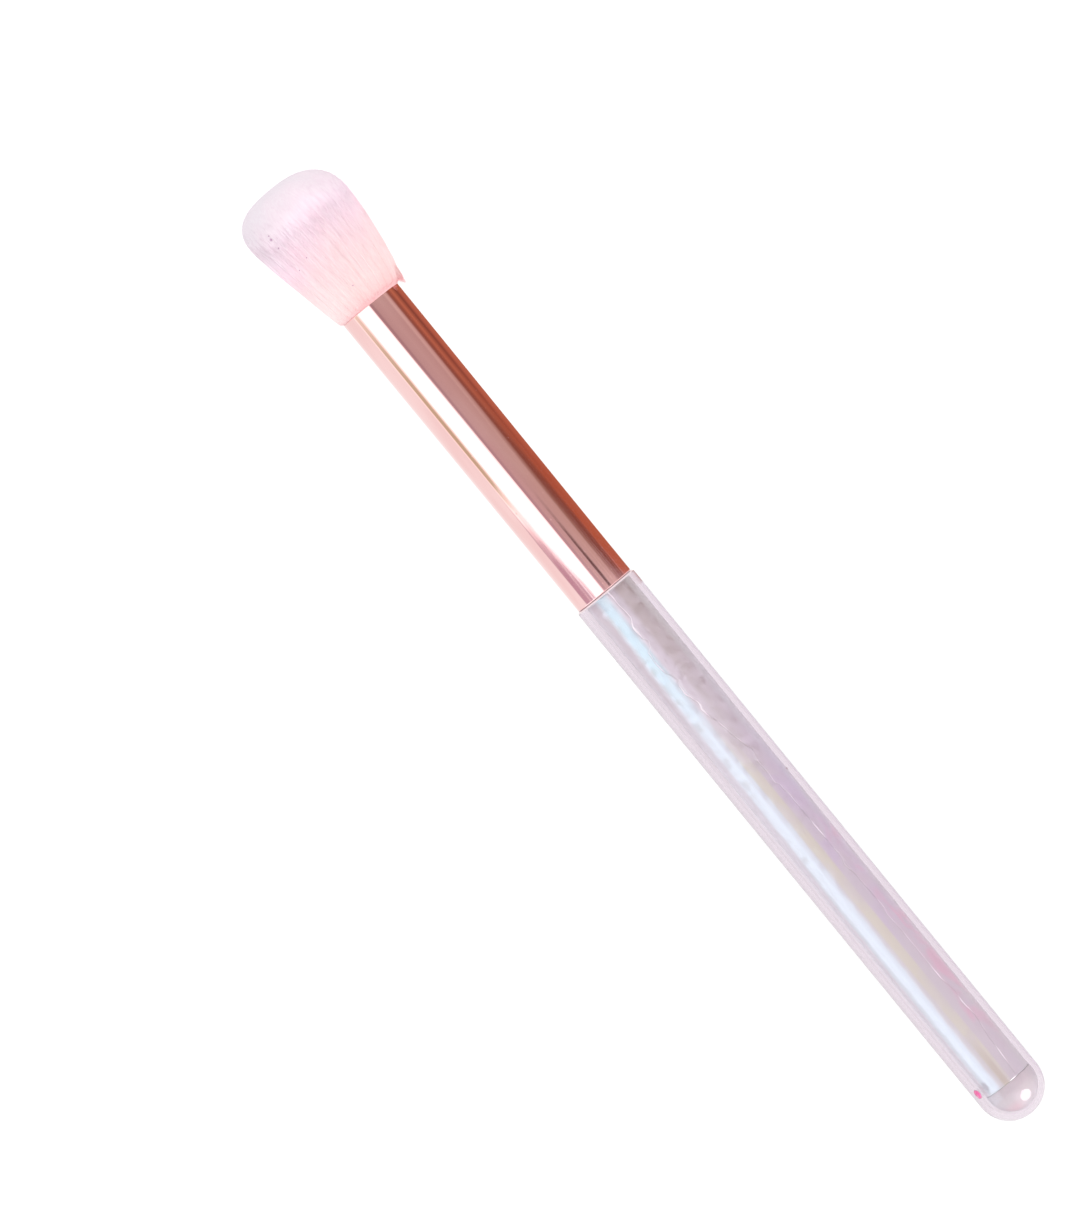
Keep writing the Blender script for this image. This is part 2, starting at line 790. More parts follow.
@dataclass
class RolledFilm:
    """The film rolled in the tube: its crinkled sheet, its cut edge and the end's lining.

    Each wave is a noise along the brush: how often it changes in a metre, and where it is read.
    What grows does so from its first number, by its second one, towards the mouth.
    """

    plan: BrushPlan
    bore: float
    gap: float = 0.00031
    settle: float = 0.00029
    thickness: float = 0.00005
    turn_rise: float = 0.0001
    lap_degrees: float = 45.0
    rear: float = 0.0008
    mouth_inset: float = 0.0001
    stations: int = 420
    columns: int = 132
    crinkle_scale: Point = (420.0, 3.2)
    crinkle_height: float = 0.000035
    crinkle_growth: Point = (0.4, 0.9)
    fold_wave: Triple = (1500.0, 1.3, 2.2)
    fold_height: float = 0.00005
    fold_fade: float = 7.0
    gap_used: float = 0.05
    ripple_degrees: float = 1.3
    ripple_growth: Point = (0.35, 0.65)
    broad_wave: Triple = (900.0, 3.7, 0.0)
    fine_wave: Triple = (2300.0, 9.1, 0.0)
    fine_share: float = 0.6
    bead_width: float = 0.00012
    bead_height: float = 0.00005
    bead_corners: int = 6
    bead_wave: Triple = (330.0, 5.0, 1.0)
    bead_flash: Point = (0.36, 1.7)
    bead_least: Point = (0.05, 0.08)
    bead_most: float = 1.1
    bead_growth: Point = (0.45, 0.45)
    bead_grows: Point = (0.55, 0.25)
    lining_reach: float = 0.0022
    lining_rise: float = 1.4
    lining_steps: int = 24
    lining_sides: int = 96
    edge_shares: tuple[Point, ...] = (
        (0.008, -20.0), (0.042, -23.5), (0.077, -26.0), (0.126, -33.0), (0.154, -30.0),
        (0.171, -33.0), (0.207, -26.0), (0.300, -26.0), (0.335, -23.5), (0.342, -28.0),
        (0.415, -25.5), (0.434, -20.5), (0.446, -25.5), (0.514, -24.5), (0.573, -24.5),
        (0.594, -22.0), (0.603, -16.0), (0.615, -18.5), (0.643, -17.0), (0.667, -23.5),
        (0.678, -18.0), (0.709, -10.0), (0.736, -4.5), (0.750, 2.0), (0.763, 3.5),
        (0.772, 0.0), (0.786, 4.5), (0.796, 10.0), (0.813, 9.0), (0.822, 2.0), (0.831, 6.0),
        (0.844, 15.0), (0.862, 17.0), (0.883, 15.0), (0.890, 4.5), (0.899, 0.0),
        (0.907, 6.0), (0.928, 7.0), (0.946, -2.5), (0.974, 0.0), (1.000, 0.5),
    )

    @property
    def radius(self) -> float:
        """Outer radius of the roll."""
        return self.bore - self.gap

    def wave(self, x: float, kind: Triple) -> float:
        """Give a wave's height at a place along the brush."""
        return noise.noise(Vector((x * kind[0], *kind[1:])))

    def edge_angle(self, x: float) -> float:
        """Give where the free edge lies about the axis, from the top towards the +Y side.

        Args:
            x: Place along the brush.

        Returns:
            The angle, in radians.
        """
        share = clamp(x / self.plan.tube_length, self.edge_shares[0][0], self.edge_shares[-1][0])
        pairs = zip(self.edge_shares, self.edge_shares[1:])
        (low, start), (high, end) = next(pair for pair in pairs if pair[0][0] <= share <= pair[1][0])
        rise = (share - low) / (high - low)
        smooth = rise * rise * (3.0 - 2.0 * rise)
        calm = self.ripple_growth[0] + self.ripple_growth[1] * share
        ripple = self.wave(x, self.broad_wave) + self.fine_share * self.wave(x, self.fine_wave)
        return math.radians(start + (end - start) * smooth + self.ripple_degrees * calm * ripple)

    def point(self, x: float, turn: float) -> Vector:
        """Give a point of the sheet's outer face.

        Args:
            x: Place along the brush.
            turn: Angle wound on from the free edge, in radians.

        Returns:
            The point.
        """
        angle = self.edge_angle(x) + turn
        growth = self.crinkle_growth[0] + self.crinkle_growth[1] * (x / self.plan.tube_length)
        along, across = self.crinkle_scale
        where = Vector((x * along, math.sin(angle) * across, math.cos(angle) * across + turn))
        crinkle = noise.fractal(where, 1.0, 2.1, 3) * self.crinkle_height * growth
        fold = math.exp(-turn * self.fold_fade) * self.fold_height * self.wave(x, self.fold_wave)
        radius = self.radius - self.turn_rise * turn / math.tau
        radius += min(crinkle + fold, self.gap * self.gap_used)
        return Vector((x, radius * math.sin(angle) - self.settle, radius * math.cos(angle)))

    def stations_x(self) -> list[float]:
        """Give the places along the brush where the sheet has points."""
        run = self.plan.tube_length - self.mouth_inset - self.rear
        return [self.rear + run * step / self.stations for step in range(self.stations + 1)]

    def build_sheet(self) -> None:
        """Make the crinkled sheet."""
        shape = bmesh.new()
        sweep = math.tau + math.radians(self.lap_degrees)
        turns = [sweep * column / self.columns for column in range(self.columns + 1)]
        rows = [[shape.verts.new(self.point(x, turn)) for turn in turns] for x in self.stations_x()]
        join_rows(shape, rows, ring=False)
        sheet = Piece("film_sheet", shape, self.plan, PearlFilm(), Slot.FILM)
        body = sheet.thing.modifiers.new("sheet_thickness", "SOLIDIFY")
        body.thickness = self.thickness
        first = sheet.thing.data.polygons[0]
        centre = self.plan.matrix.inverted() @ first.center
        outward = first.normal.dot(Vector((0.0, centre.y, centre.z)))
        body.offset = -1.0 if outward > 0.0 else 1.0
        sheet.stands_for("iridescent_film")

    def build_edge(self) -> None:
        """Make the bright bead along the sheet's free edge, which fades in and out."""
        shape = bmesh.new()
        rows = []
        for x in self.stations_x():
            middle = self.point(x, 0.0)
            outward = Vector((0.0, middle.y + self.settle, middle.z)).normalized()
            across = Vector((0.0, outward.z, -outward.y))
            flash = self.bead_flash[0] + self.bead_flash[1] * self.wave(x, self.bead_wave)
            bold = clamp((x / self.plan.tube_length - self.bead_grows[0]) / self.bead_grows[1])
            size = clamp(flash, self.bead_least[0] + self.bead_least[1] * bold, self.bead_most)
            size *= self.bead_growth[0] + self.bead_growth[1] * bold
            row = []
            for turn in ring_turns(self.bead_corners):
                wide = across * (self.bead_width * math.cos(turn))
                high = outward * (self.bead_height * math.sin(turn))
                row.append(shape.verts.new(middle + (wide + high) * size))
            rows.append(row)
        join_rows(shape, rows)
        shape.faces.new(rows[0])
        shape.faces.new(rows[-1])
        Piece("film_cut_edge", shape, self.plan, FilmEdge(), Slot.FILM)

    def build_lining(self) -> None:
        """Make the pearly lining of the bore's round end."""
        outer = self.radius
        under = outer - self.turn_rise * self.lining_rise - self.thickness
        inner = under - self.thickness
        lap = self.rear - self.thickness
        outline = arc((0.0, 0.0), outer, 180.0, 90.0, self.lining_steps)
        outline += [(lap, outer), (lap, under), (self.lining_reach, under), (self.lining_reach, inner)]
        outline += [(0.0, inner)] + arc((0.0, 0.0), inner, 90.0, 180.0, self.lining_steps)[1:]
        shape = spin(outline, self.lining_sides)
        bmesh.ops.translate(shape, verts=shape.verts, vec=(0.0, -self.settle, 0.0))
        Piece("end_lining", shape, self.plan, EndPearl(), Slot.FILM).crease(30.0)

    def build(self) -> None:
        """Make the roll's pieces."""
        self.build_sheet()
        self.build_edge()
        self.build_lining()


@dataclass
class Ferrule:
    """The drawn metal sleeve, whose taper starts gently at the handle."""

    plan: BrushPlan
    rear_share: float = 0.975
    joint_gap: float = 0.00005
    wall: float = 0.0003
    gentle_share: float = 0.3
    edge_steps: int = 10
    body_steps: int = 60
    sides: int = 256

    def middle_line(self) -> list[Point]:
        """Give the middle of the sleeve's wall, from the handle to the mouth.

        Returns:
            The points.
        """
        half, gentle = self.wall / 2.0, self.gentle_share
        start, end = self.plan.tube_length + self.joint_gap + half, self.plan.ferrule_mouth - half
        points = []
        for share in (0.0, *held_steps(self.body_steps), 1.0):
            eased = share**2 / (2.0 * gentle) if share < gentle else share - gentle / 2.0
            rise = (self.plan.mouth_radius - self.plan.rear_radius) * eased / (1.0 - gentle / 2.0)
            points.append((start + (end - start) * share, self.plan.rear_radius - half + rise))
        return points

    def build(self) -> None:
        """Make the sleeve, with half-round ends."""
        half, middle = self.wall / 2.0, self.middle_line()
        outline = arc(middle[-1], half, 90.0, -90.0, self.edge_steps)
        outline += [(x, radius - half) for x, radius in reversed(middle[1:-1])]
        outline += arc(middle[0], half, 270.0, 90.0, self.edge_steps)
        outline += [(x, radius + half) for x, radius in middle[1:-1]]
        shape = spin(outline, self.sides, ring=True)
        Piece("ferrule_sleeve", shape, self.plan, RoseGold(), Slot.FERRULE).stands_for("ferrule")


@dataclass
class Tuft:
    """The bristles: a soft inner body, long fibres round it and short ones on the dome.

    Distances run forward from the ferrule's mouth, shares out from the tuft's middle, as parts
    of its radius, and angles about the axis, from the +Y side towards the top.
    """

    plan: BrushPlan
    neck_radius: float = 0.0053
    head_radius: float = 0.00845
    dome_depth: float = 0.0065
    tip_lean: float = 0.0006
    root_lean: float = 0.0009
    flare_power: float = 0.62
    dome_power: float = 2.7
    crown_skew: float = 0.0005
    tip_reach: float = 0.00012
    lump_height: float = 0.013
    lump_run: float = 0.0048
    lump_stretch: float = 0.6
    lump_scale: float = 1.7
    lump_sink: float = 0.35
    tip_lean_power: float = 2.0
    root_lean_power: float = 0.3
    root_depth: float = 0.0006
    rim_room: float = 0.00036
    rim_rise: float = 0.0004
    fibre_radius: float = 0.000032
    fibre_sides: int = 3
    drift: float = 0.012
    bow: float = 0.008
    clump: float = 0.013
    clump_scale: Point = (7.0, 5.0)
    outer_fibres: int = 8400
    outer_depth: float = 0.020
    outer_power: float = 1.4
    outer_most: float = 0.995
    outer_sizes: Point = (0.8, 1.15)
    outer_thinning: float = 0.3
    end_spread: float = 0.0028
    end_dive: float = 0.22
    dive_from: float = 0.82
    dome_fibres: int = 22000
    dome_jitter: float = 0.02
    dome_sizes: Point = (0.85, 1.2)
    dome_thinning: float = 0.45
    rim_share: float = 0.998
    rim_spread: float = 0.0032
    rim_power: float = 120.0
    dome_fibre_length: float = 0.0010
    rim_fibre_length: float = 0.0032
    rim_lengths: Point = (0.3, 1.6)
    core_share: float = 0.9935
    core_drop: float = 0.00003
    core_rings: int = 48
    core_sides: int = 120
    table_clearance: float = 0.00003
    strays: int = 120
    stray_arc: Point = (0.02, 0.40)
    stray_roots: Point = (0.0006, 0.0030)
    stray_share: float = 0.985
    stray_lift: Point = (0.00035, 0.00085)
    stray_back: float = 0.0011
    stray_middle: float = 0.55
    stray_bow: float = 0.00006
    stray_tip: float = 0.8
    seed: int = 7
    long_steps: tuple[float, ...] = (0.0, 0.032, 0.06, 0.11, 0.22, 0.42, 0.65, 0.86, 1.0)
    short_steps: tuple[float, ...] = (0.0, 0.85, 1.0)

    @property
    def widest(self) -> float:
        """Distance to the widest place."""
        return self.plan.head_length - self.dome_depth

    def forward(self, distance: float) -> float:
        """Give a distance as a share of the tuft's length, which is 0 behind the mouth."""
        return max(distance / self.plan.head_length, 0.0)

    def radius_at(self, distance: float) -> float:
        """Give the tuft's radius at a distance."""
        share = clamp(distance / self.widest)
        return self.neck_radius + (self.head_radius - self.neck_radius) * share**self.flare_power

    def lean_at(self, distance: float) -> float:
        """Give the sideways offset of the tuft's middle at a distance, towards the +Y side."""
        share = self.forward(distance)
        low_sag = self.root_lean * share**self.root_lean_power * (1.0 - share)
        return self.tip_lean * share**self.tip_lean_power - low_sag

    def share_at(self, distance: float) -> float:
        """Give the share that is left of the tuft's radius at a distance, on the dome."""
        drop = clamp((distance - self.widest) / self.dome_depth, 0.0, 0.999)
        return (1.0 - drop**self.dome_power) ** (1.0 / self.dome_power)

    def tip_at(self, share: float) -> float:
        """Give the distance that the dome reaches at a share."""
        drop = 1.0 - (1.0 - min(share, 1.0) ** self.dome_power) ** (1.0 / self.dome_power)
        return self.plan.head_length - self.dome_depth * drop

    def spot(self, distance: float, share: float, angle: float) -> Vector:
        """Give a point in the tuft, lifted where it would sink into the table.

        Args:
            distance: Its distance.
            share: Its share.
            angle: Its angle.

        Returns:
            The point in the brush's frame.
        """
        ahead = distance / self.lump_run
        lumps = Vector((math.cos(angle), math.sin(angle), ahead * self.lump_stretch)) * self.lump_scale
        lump = self.lump_height * (noise.noise(lumps) - self.lump_sink) * clamp(ahead)
        radius = self.radius_at(distance) * share * (1.0 + lump)
        if distance < self.rim_rise:
            root = self.plan.mouth_radius - self.rim_room
            blend = clamp((distance + self.rim_rise / 2.0) / (self.rim_rise * 1.5))
            radius = share * (root + (self.radius_at(distance) - root) * blend)
        skew = self.crown_skew * math.cos(angle) * share**3 * self.forward(distance) ** 4
        y = radius * math.cos(angle) + self.lean_at(distance)
        place = Vector((self.plan.ferrule_mouth + distance + skew, y, radius * math.sin(angle)))
        short = self.table_clearance + self.fibre_radius - (self.plan.matrix @ place).z
        return place + Vector((0.0, 0.0, short)) if short > 0.0 else place

    def add_fibre(self, shape: Shape, path: Sequence[Vector], thickness: Sequence[float]) -> None:
        """Add a three-sided fibre that ends in a point.

        Args:
            shape: The shape to add it to.
            path: The fibre's points, root first.
            thickness: Its radius at each point but the last.
        """
        facing = math.tau * noise.cell(path[0] / self.fibre_radius)
        turns = [facing + turn for turn in ring_turns(self.fibre_sides)]
        rows = [
            [shape.verts.new(place + outward_at(turn) * radius) for turn in turns]
            for place, radius in zip(path, thickness)
        ]
        join_rows(shape, rows)
        join_tip(shape, rows[-1], shape.verts.new(path[-1]))

    def fibre_path(
        self, chance: random.Random, ends: Point, share: float, angle: float, steps: Sequence[float],
        dive: float = 0.0,
    ) -> list[Vector]:
        """Give a fibre's gently wandering path.

        Args:
            chance: The random numbers.
            ends: The distances at which it starts and ends.
            share: Its share.
            angle: Its angle.
            steps: Where its points are, as shares of its length.
            dive: How fast it sinks towards its tip.

        Returns:
            The path.
        """
        drift = chance.gauss(0.0, self.drift)
        bow = chance.gauss(0.0, self.bow)
        wide, deep = self.clump_scale
        where = Vector((math.cos(angle) * wide, math.sin(angle) * wide, share * deep))
        clump = self.clump * noise.noise(where)
        path = []
        for rise in steps:
            distance = ends[0] + (ends[1] - ends[0]) * rise
            forward = self.forward(distance)
            aside = drift * forward + clump * forward**2
            sunk = dive * max(rise - self.dive_from, 0.0)
            out = share * (1.0 + bow * math.sin(math.pi * forward)) - sunk
            path.append(self.spot(distance, min(out, 1.0), angle + aside))
        return path

    def piece(self, name: str, shape: Shape, smooth: bool = False) -> Piece:
        """Make a piece of the tuft from a shape."""
        return Piece(name, shape, self.plan, BristleFibre(self.head_radius), Slot.BRISTLE, smooth)

    def build_outer(self, name: str, count: int, seed: int) -> None:
        """Make the long fibres that run from the ferrule to the dome's rim.

        Args:
            name: The piece's name.
            count: How many fibres it holds.
            seed: Where the random numbers start.
        """
        chance, shape = random.Random(seed), bmesh.new()
        for index in range(count):
            angle = math.tau * (index + chance.random()) / count
            share = 1.0 - self.outer_depth * chance.random() ** self.outer_power
            end = self.tip_at(min(share, self.outer_most)) + chance.uniform(-self.end_spread, 0.0)
            ends = (-self.root_depth, end)
            path = self.fibre_path(chance, ends, share, angle, self.long_steps, self.end_dive)
            size = self.fibre_radius * chance.uniform(*self.outer_sizes)
            thickness = [size * (1.0 - self.outer_thinning * rise) for rise in self.long_steps[:-1]]
            self.add_fibre(shape, path, thickness)
        self.piece(name, shape)

    def build_dome(self) -> None:
        """Make the short fibres whose tips form the dome, with ragged ends at its rim."""
        chance, shape = random.Random(self.seed + 11), bmesh.new()
        for index in range(self.dome_fibres):
            drop = (index + 0.5) / self.dome_fibres
            share = min(math.sqrt(1.0 - (1.0 - drop) ** 2), self.rim_share)
            angle = index * math.pi * GOLDEN_TURN + chance.gauss(0.0, self.dome_jitter)
            end = self.tip_at(share) + chance.uniform(0.0, self.tip_reach)
            end -= self.rim_spread * chance.random() * share**self.rim_power
            reach = self.rim_fibre_length * share**4 * chance.uniform(*self.rim_lengths)
            ends = (end - (self.dome_fibre_length + reach), end)
            path = self.fibre_path(chance, ends, share, angle, self.short_steps)
            size = self.fibre_radius * chance.uniform(*self.dome_sizes)
            self.add_fibre(shape, path, [size, size * self.dome_thinning])
        self.piece("bristle_dome", shape)

    def build_strays(self) -> None:
        """Make the few fibres that stand off the tuft at the mouth."""
        chance, shape = random.Random(self.seed + 23), bmesh.new()
        for _ in range(self.strays):
            angle = math.pi - chance.uniform(*self.stray_arc)
            start = self.spot(chance.uniform(*self.stray_roots), self.stray_share, angle)
            back = chance.random()
            reach = self.plan.mouth_radius + self.stray_lift[0] + self.stray_lift[1] * back
            x = self.plan.ferrule_mouth - self.stray_back * back
            end = Vector((x, reach * math.cos(angle), reach * math.sin(angle)))
            middle = start.lerp(end, self.stray_middle) + outward_at(angle) * self.stray_bow
            path = [start, start.lerp(middle, 0.5), middle, end]
            self.add_fibre(shape, path, [self.fibre_radius] * 2 + [self.fibre_radius * self.stray_tip])
        self.piece("bristle_strays", shape)

    def build_core(self) -> None:
        """Make the soft body under the fibres."""
        shape = bmesh.new()
        reach = self.plan.head_length - self.core_drop
        rows = []
        for ring in range(self.core_rings + 1):
            turned = math.sin(ring / self.core_rings * math.pi / 2.0)
            distance = -self.root_depth + (reach + self.root_depth) * turned
            share = self.core_share * self.share_at(distance + self.core_drop)
            spots = [self.spot(distance, share, turn) for turn in ring_turns(self.core_sides)]
            rows.append([shape.verts.new(spot) for spot in spots])
        join_rows(shape, rows)
        shape.faces.new(rows[0][::-1])
        shape.faces.new(rows[-1])
        self.piece("bristle_core", shape, smooth=True).stands_for("bristle_tuft")

    def build(self) -> None:
        """Make the tuft's pieces."""
        half = self.outer_fibres // 2
        self.build_core()
        self.build_outer("bristles_outer", half, self.seed)
        self.build_outer("bristles_under", self.outer_fibres - half, self.seed + 5)
        self.build_dome()
        self.build_strays()


@dataclass(frozen=True)
class Flake:
    """Where a glitter flake or a speck of it sits, and how large it is."""

    name: str
    along: float
    degrees: float
    size: float
    finish: Finish = GlitterFoil("mauve_foil", tone(206, 170, 196), tone(190, 150, 182))
    corners: int = 6


@dataclass
class Glitter:
    """The stray glitter flake on the handle and the fine specks on handle and bristles."""

    plan: BrushPlan
    tuft: Tuft
    thickness: float = 0.00005
    sunk: float = 0.00001
    rim_share: float = 0.9
    ragged: Point = (0.86, 0.14)
    crown: Point = (1.2, 0.4)
    handle_flakes: tuple[Flake, ...] = (
        Flake("flake_pink", 0.0022, 32.0, 0.00084, GlitterFoil(), 7),
        Flake("flake_dark", 0.0566, 142.5, 0.00014,
              GlitterFoil("dark_foil", tone(120, 84, 96), tone(150, 104, 110))),
    )
    tuft_flakes: tuple[Flake, ...] = (
        Flake("speck_a", 0.0160, 52.0, 0.00024), Flake("speck_b", 0.0166, 53.0, 0.00013),
        Flake("speck_c", 0.0144, 51.0, 0.00013), Flake("speck_d", 0.0108, 66.0, 0.00010),
        Flake("speck_e", 0.0101, 48.0, 0.00010), Flake("speck_f", 0.0035, 84.0, 0.00011),
    )

    def place_flake(self, flake: Flake, centre: Vector, facing: Vector, slot: Slot) -> None:
        """Make a flake.

        Args:
            flake: Its name, size and finish.
            centre: Its middle.
            facing: The direction in which its face looks.
            slot: The slot whose surface it sits on.
        """
        across = facing.cross(AXIS).normalized()
        shape = bmesh.new()
        rims = []
        for height, spread in ((-self.sunk, 1.0), (self.thickness, self.rim_share)):
            rim = []
            for corner, turn in enumerate(ring_turns(flake.corners)):
                jag = random.Random(corner * 7.0 + flake.size).random()
                reach = flake.size * (self.ragged[0] + self.ragged[1] * jag) * spread
                flat = AXIS * math.cos(turn) + across * math.sin(turn)
                curve = (reach * math.sin(turn)) ** 2 / (2.0 * self.plan.tube_radius)
                rim.append(shape.verts.new(centre + flat * reach + facing * (height - curve)))
            rims.append(rim)
        rise = self.crown[0] + self.crown[1] * random.Random(flake.name).random()
        join_rows(shape, rims)
        join_tip(shape, rims[-1], shape.verts.new(centre + facing * (self.thickness * rise)))
        shape.faces.new(rims[0][::-1])
        Piece(flake.name, shape, self.plan, flake.finish, slot)

    def build(self) -> None:
        """Make all the flakes."""
        for flake in self.handle_flakes:
            facing = outward_at(math.radians(flake.degrees))
            centre = AXIS * flake.along + facing * self.plan.tube_radius
            self.place_flake(flake, centre, facing, Slot.TUBE)
        for flake in self.tuft_flakes:
            angle = math.radians(flake.degrees)
            facing = outward_at(angle)
            centre = self.tuft.spot(flake.along, self.tuft.share_at(flake.along), angle)
            self.place_flake(flake, centre + facing * self.tuft.fibre_radius, facing, Slot.BRISTLE)


@dataclass
class InnerPieces:
    """The CAD nodes that stay as they are, with finer finishes."""

    plan: BrushPlan
    finishes: dict[str, Finish] = field(default_factory=lambda: {
        "joining_plug": MouldedPlug(), "plug_glue_rear": SetGlue(), "plug_glue_front": SetGlue(),
        "root_glue": SetGlue(), "root_tie": BindingThread(),
    })

    def build(self) -> None:
        """Give each node its finish."""
        for name, finish in self.finishes.items():
            node = frame["nodes"][name]
            node.data.materials.clear()
            node.data.materials.append(finish.build(self.plan))


@dataclass(frozen=True)
class Card:
    """A coloured card that the ferrule mirrors.

    Its bands run round the brush, in degrees, and along it, in shares of the ferrule's length.
    Its start climbs by the slant over that length, and it weakens to its level at the mouth.
    """

    tint: Colour
    around: Band
    along: Band = (*NO_START, *NO_END)
    slant: float = 0.0
    mouth_level: float = 1.0


@dataclass
class Studio:
    """Camera, floor and the light all round."""

    plan: BrushPlan
    pixel: float = 0.000146
    picture_height: int = 1212
    sensor: float = 36.0
    distance: float = 1.0
    clip: Point = (0.01, 10.0)
    roll_degrees: float = 230.71
    aim: Point = (0.09753, 0.00869)
    floor_size: float = 3.0
    floor_drop: float = 0.00002
    floor_tone: Colour = (0.30, 0.30, 0.30)
    floor_lift: float = 0.54
    backdrop_lift: float = 0.28
    glass_share: float = 0.36
    ferrule_lead: Point = (0.0025, 0.0020)
    neutral: Colour = (1.25, 1.25, 1.25)
    plain: Colour = (1.13, 1.13, 1.13)
    window_ends: Point = (0.25, 0.35)
    window_soft: float = 3.0
    window_low: Point = (44.0, 22.0)
    window_high: Point = (99.0, 54.0)
    high_falls: Point = (0.050, 0.090)
    window_drop: float = 7.0
    low_drops: Point = (0.070, 0.090)
    window_light: Colour = (1.72, 1.95, 2.12)
    window_near: Colour = (1.80, 2.35, 2.50)
    near_from: Point = (0.060, 0.085)
    spot_direction: Triple = (-0.812, -0.345, 0.470)
    spot_distance: float = 0.6
    spot_radius: float = 0.178
    spot_level: float = 6.0
    handle_zones: tuple[Stop, ...] = (
        (-180.0, (0.86, 0.82, 0.86)), (-120.0, (1.06, 0.96, 1.05)), (-60.0, (1.10, 0.97, 1.07)),
        (0.0, (1.08, 0.97, 1.03)), (40.0, (0.98, 0.90, 0.93)), (80.0, (0.88, 0.84, 0.87)),
        (110.0, (1.0, 0.98, 1.0)), (140.0, WHITE), (180.0, (0.9, 0.88, 0.9)),
    )
    rear_zones: tuple[Stop, ...] = (
        (-180.0, (0.46, 0.14, 0.08)), (-104.0, (0.46, 0.13, 0.065)), (-92.0, (0.24, 0.075, 0.05)),
        (-77.0, (0.22, 0.075, 0.05)), (-65.0, (0.32, 0.17, 0.13)), (-56.0, (0.56, 0.42, 0.37)),
        (-34.0, (0.57, 0.44, 0.41)), (-10.0, (0.60, 0.46, 0.46)), (-5.0, (0.51, 0.38, 0.41)),
        (1.0, (0.49, 0.37, 0.41)), (4.0, (1.7, 1.7, 1.7)), (84.0, (1.7, 1.7, 1.7)),
        (88.0, WHITE), (180.0, WHITE),
    )
    mouth_zones: tuple[Stop, ...] = (
        (-180.0, (0.50, 0.17, 0.10)), (-128.0, (0.46, 0.15, 0.09)), (-112.0, (0.24, 0.08, 0.055)),
        (-99.0, (0.42, 0.15, 0.09)), (-92.0, (0.52, 0.19, 0.11)), (-80.0, (0.31, 0.11, 0.075)),
        (-74.0, (0.31, 0.13, 0.10)), (-67.0, (0.62, 0.45, 0.41)), (-60.0, (0.66, 0.52, 0.48)),
        (-53.0, (0.54, 0.40, 0.38)), (-30.0, (0.58, 0.45, 0.43)), (-8.0, (0.54, 0.41, 0.40)),
        (-3.0, (0.42, 0.30, 0.31)), (4.0, (0.42, 0.30, 0.32)), (8.0, (1.7, 1.7, 1.7)),
        (84.0, (1.7, 1.7, 1.7)), (88.0, WHITE), (180.0, WHITE),
    )
    zones_change: Point = (0.05, 0.85)
    weaker_from: float = 0.70
    gold: Card = Card((0.60, 0.55, 0.37), (53.0, 66.0, 73.0, 81.0), (0.18, 0.34, *NO_END), mouth_level=0.6)
    past_gold: Card = Card(WHITE, (77.0, 80.0, 92.0, 96.0))
    wedge: Card = Card((0.54, 0.35, 0.45), (30.0, 43.0, 84.0, 86.0), (*NO_START, 0.12, 0.23), slant=170.0)
    seam: Card = Card((0.10, 0.05, 0.05), (-33.0, -29.0, -24.0, -20.0), (*NO_START, 0.07, 0.20))

    def zone_ramp(self, pen: Pen, degrees: Socket, zones: Sequence[Stop]) -> Socket:
        """Colour the directions round the brush by zones, whose places are in degrees."""
        turned = pen.math("MULTIPLY_ADD", degrees, 1.0 / 360.0, 0.5)
        return pen.ramp(turned, [(angle / 360.0 + 0.5, colour) for angle, colour in zones])

    def beside_ferrule(self, pen: Pen, place: Socket, degrees: Socket) -> Socket:
        """Give the light beside the ferrule.

        Args:
            pen: The pen on the world's tree.
            place: The place along the brush.
            degrees: The direction's angle from straight up.

        Returns:
            The light's socket.
        """
        rear, mouth = self.plan.tube_length, self.plan.ferrule_mouth
        share = pen.math("DIVIDE", pen.math("SUBTRACT", place, rear), mouth - rear)
        ramps = (self.zone_ramp(pen, degrees, zones) for zones in (self.rear_zones, self.mouth_zones))
        light = pen.mix(pen.span(share, *self.zones_change), *ramps)
        for card in (self.gold, self.past_gold, self.wedge, self.seam):
            start, full, fade, end = card.around
            climbed = pen.math("MULTIPLY_ADD", share, -card.slant, degrees)
            around = pen.times(pen.span(climbed, start, full), pen.span(degrees, end, fade))
            weaker = pen.span(share, 1.0, self.weaker_from, card.mouth_level, 1.0)
            light = pen.mix(pen.times(around, pen.band(share, *card.along), weaker), light, card.tint)
        return light

    def beside_tube(self, pen: Pen, place: Socket, degrees: Socket) -> Socket:
        """Give the light beside the handle, with its long window.

        Args:
            pen: The pen on the world's tree.
            place: The place along the brush.
            degrees: The direction's angle from straight up.

        Returns:
            The light's socket.
        """
        soft = self.window_soft
        low = pen.span(place, 0.0, self.plan.tube_length, *self.window_low)
        low = pen.math("SUBTRACT", low, pen.span(place, *self.low_drops, 0.0, self.window_drop))
        high = pen.span(place, *self.high_falls, *self.window_high)
        above = pen.span(pen.math("SUBTRACT", degrees, low), -soft, soft)
        below = pen.span(pen.math("SUBTRACT", degrees, high), soft, -soft)
        pane = pen.mix(pen.span(place, *self.near_from), self.window_light, self.window_near)
        return pen.mix(pen.times(above, below), self.zone_ramp(pen, degrees, self.handle_zones), pane)

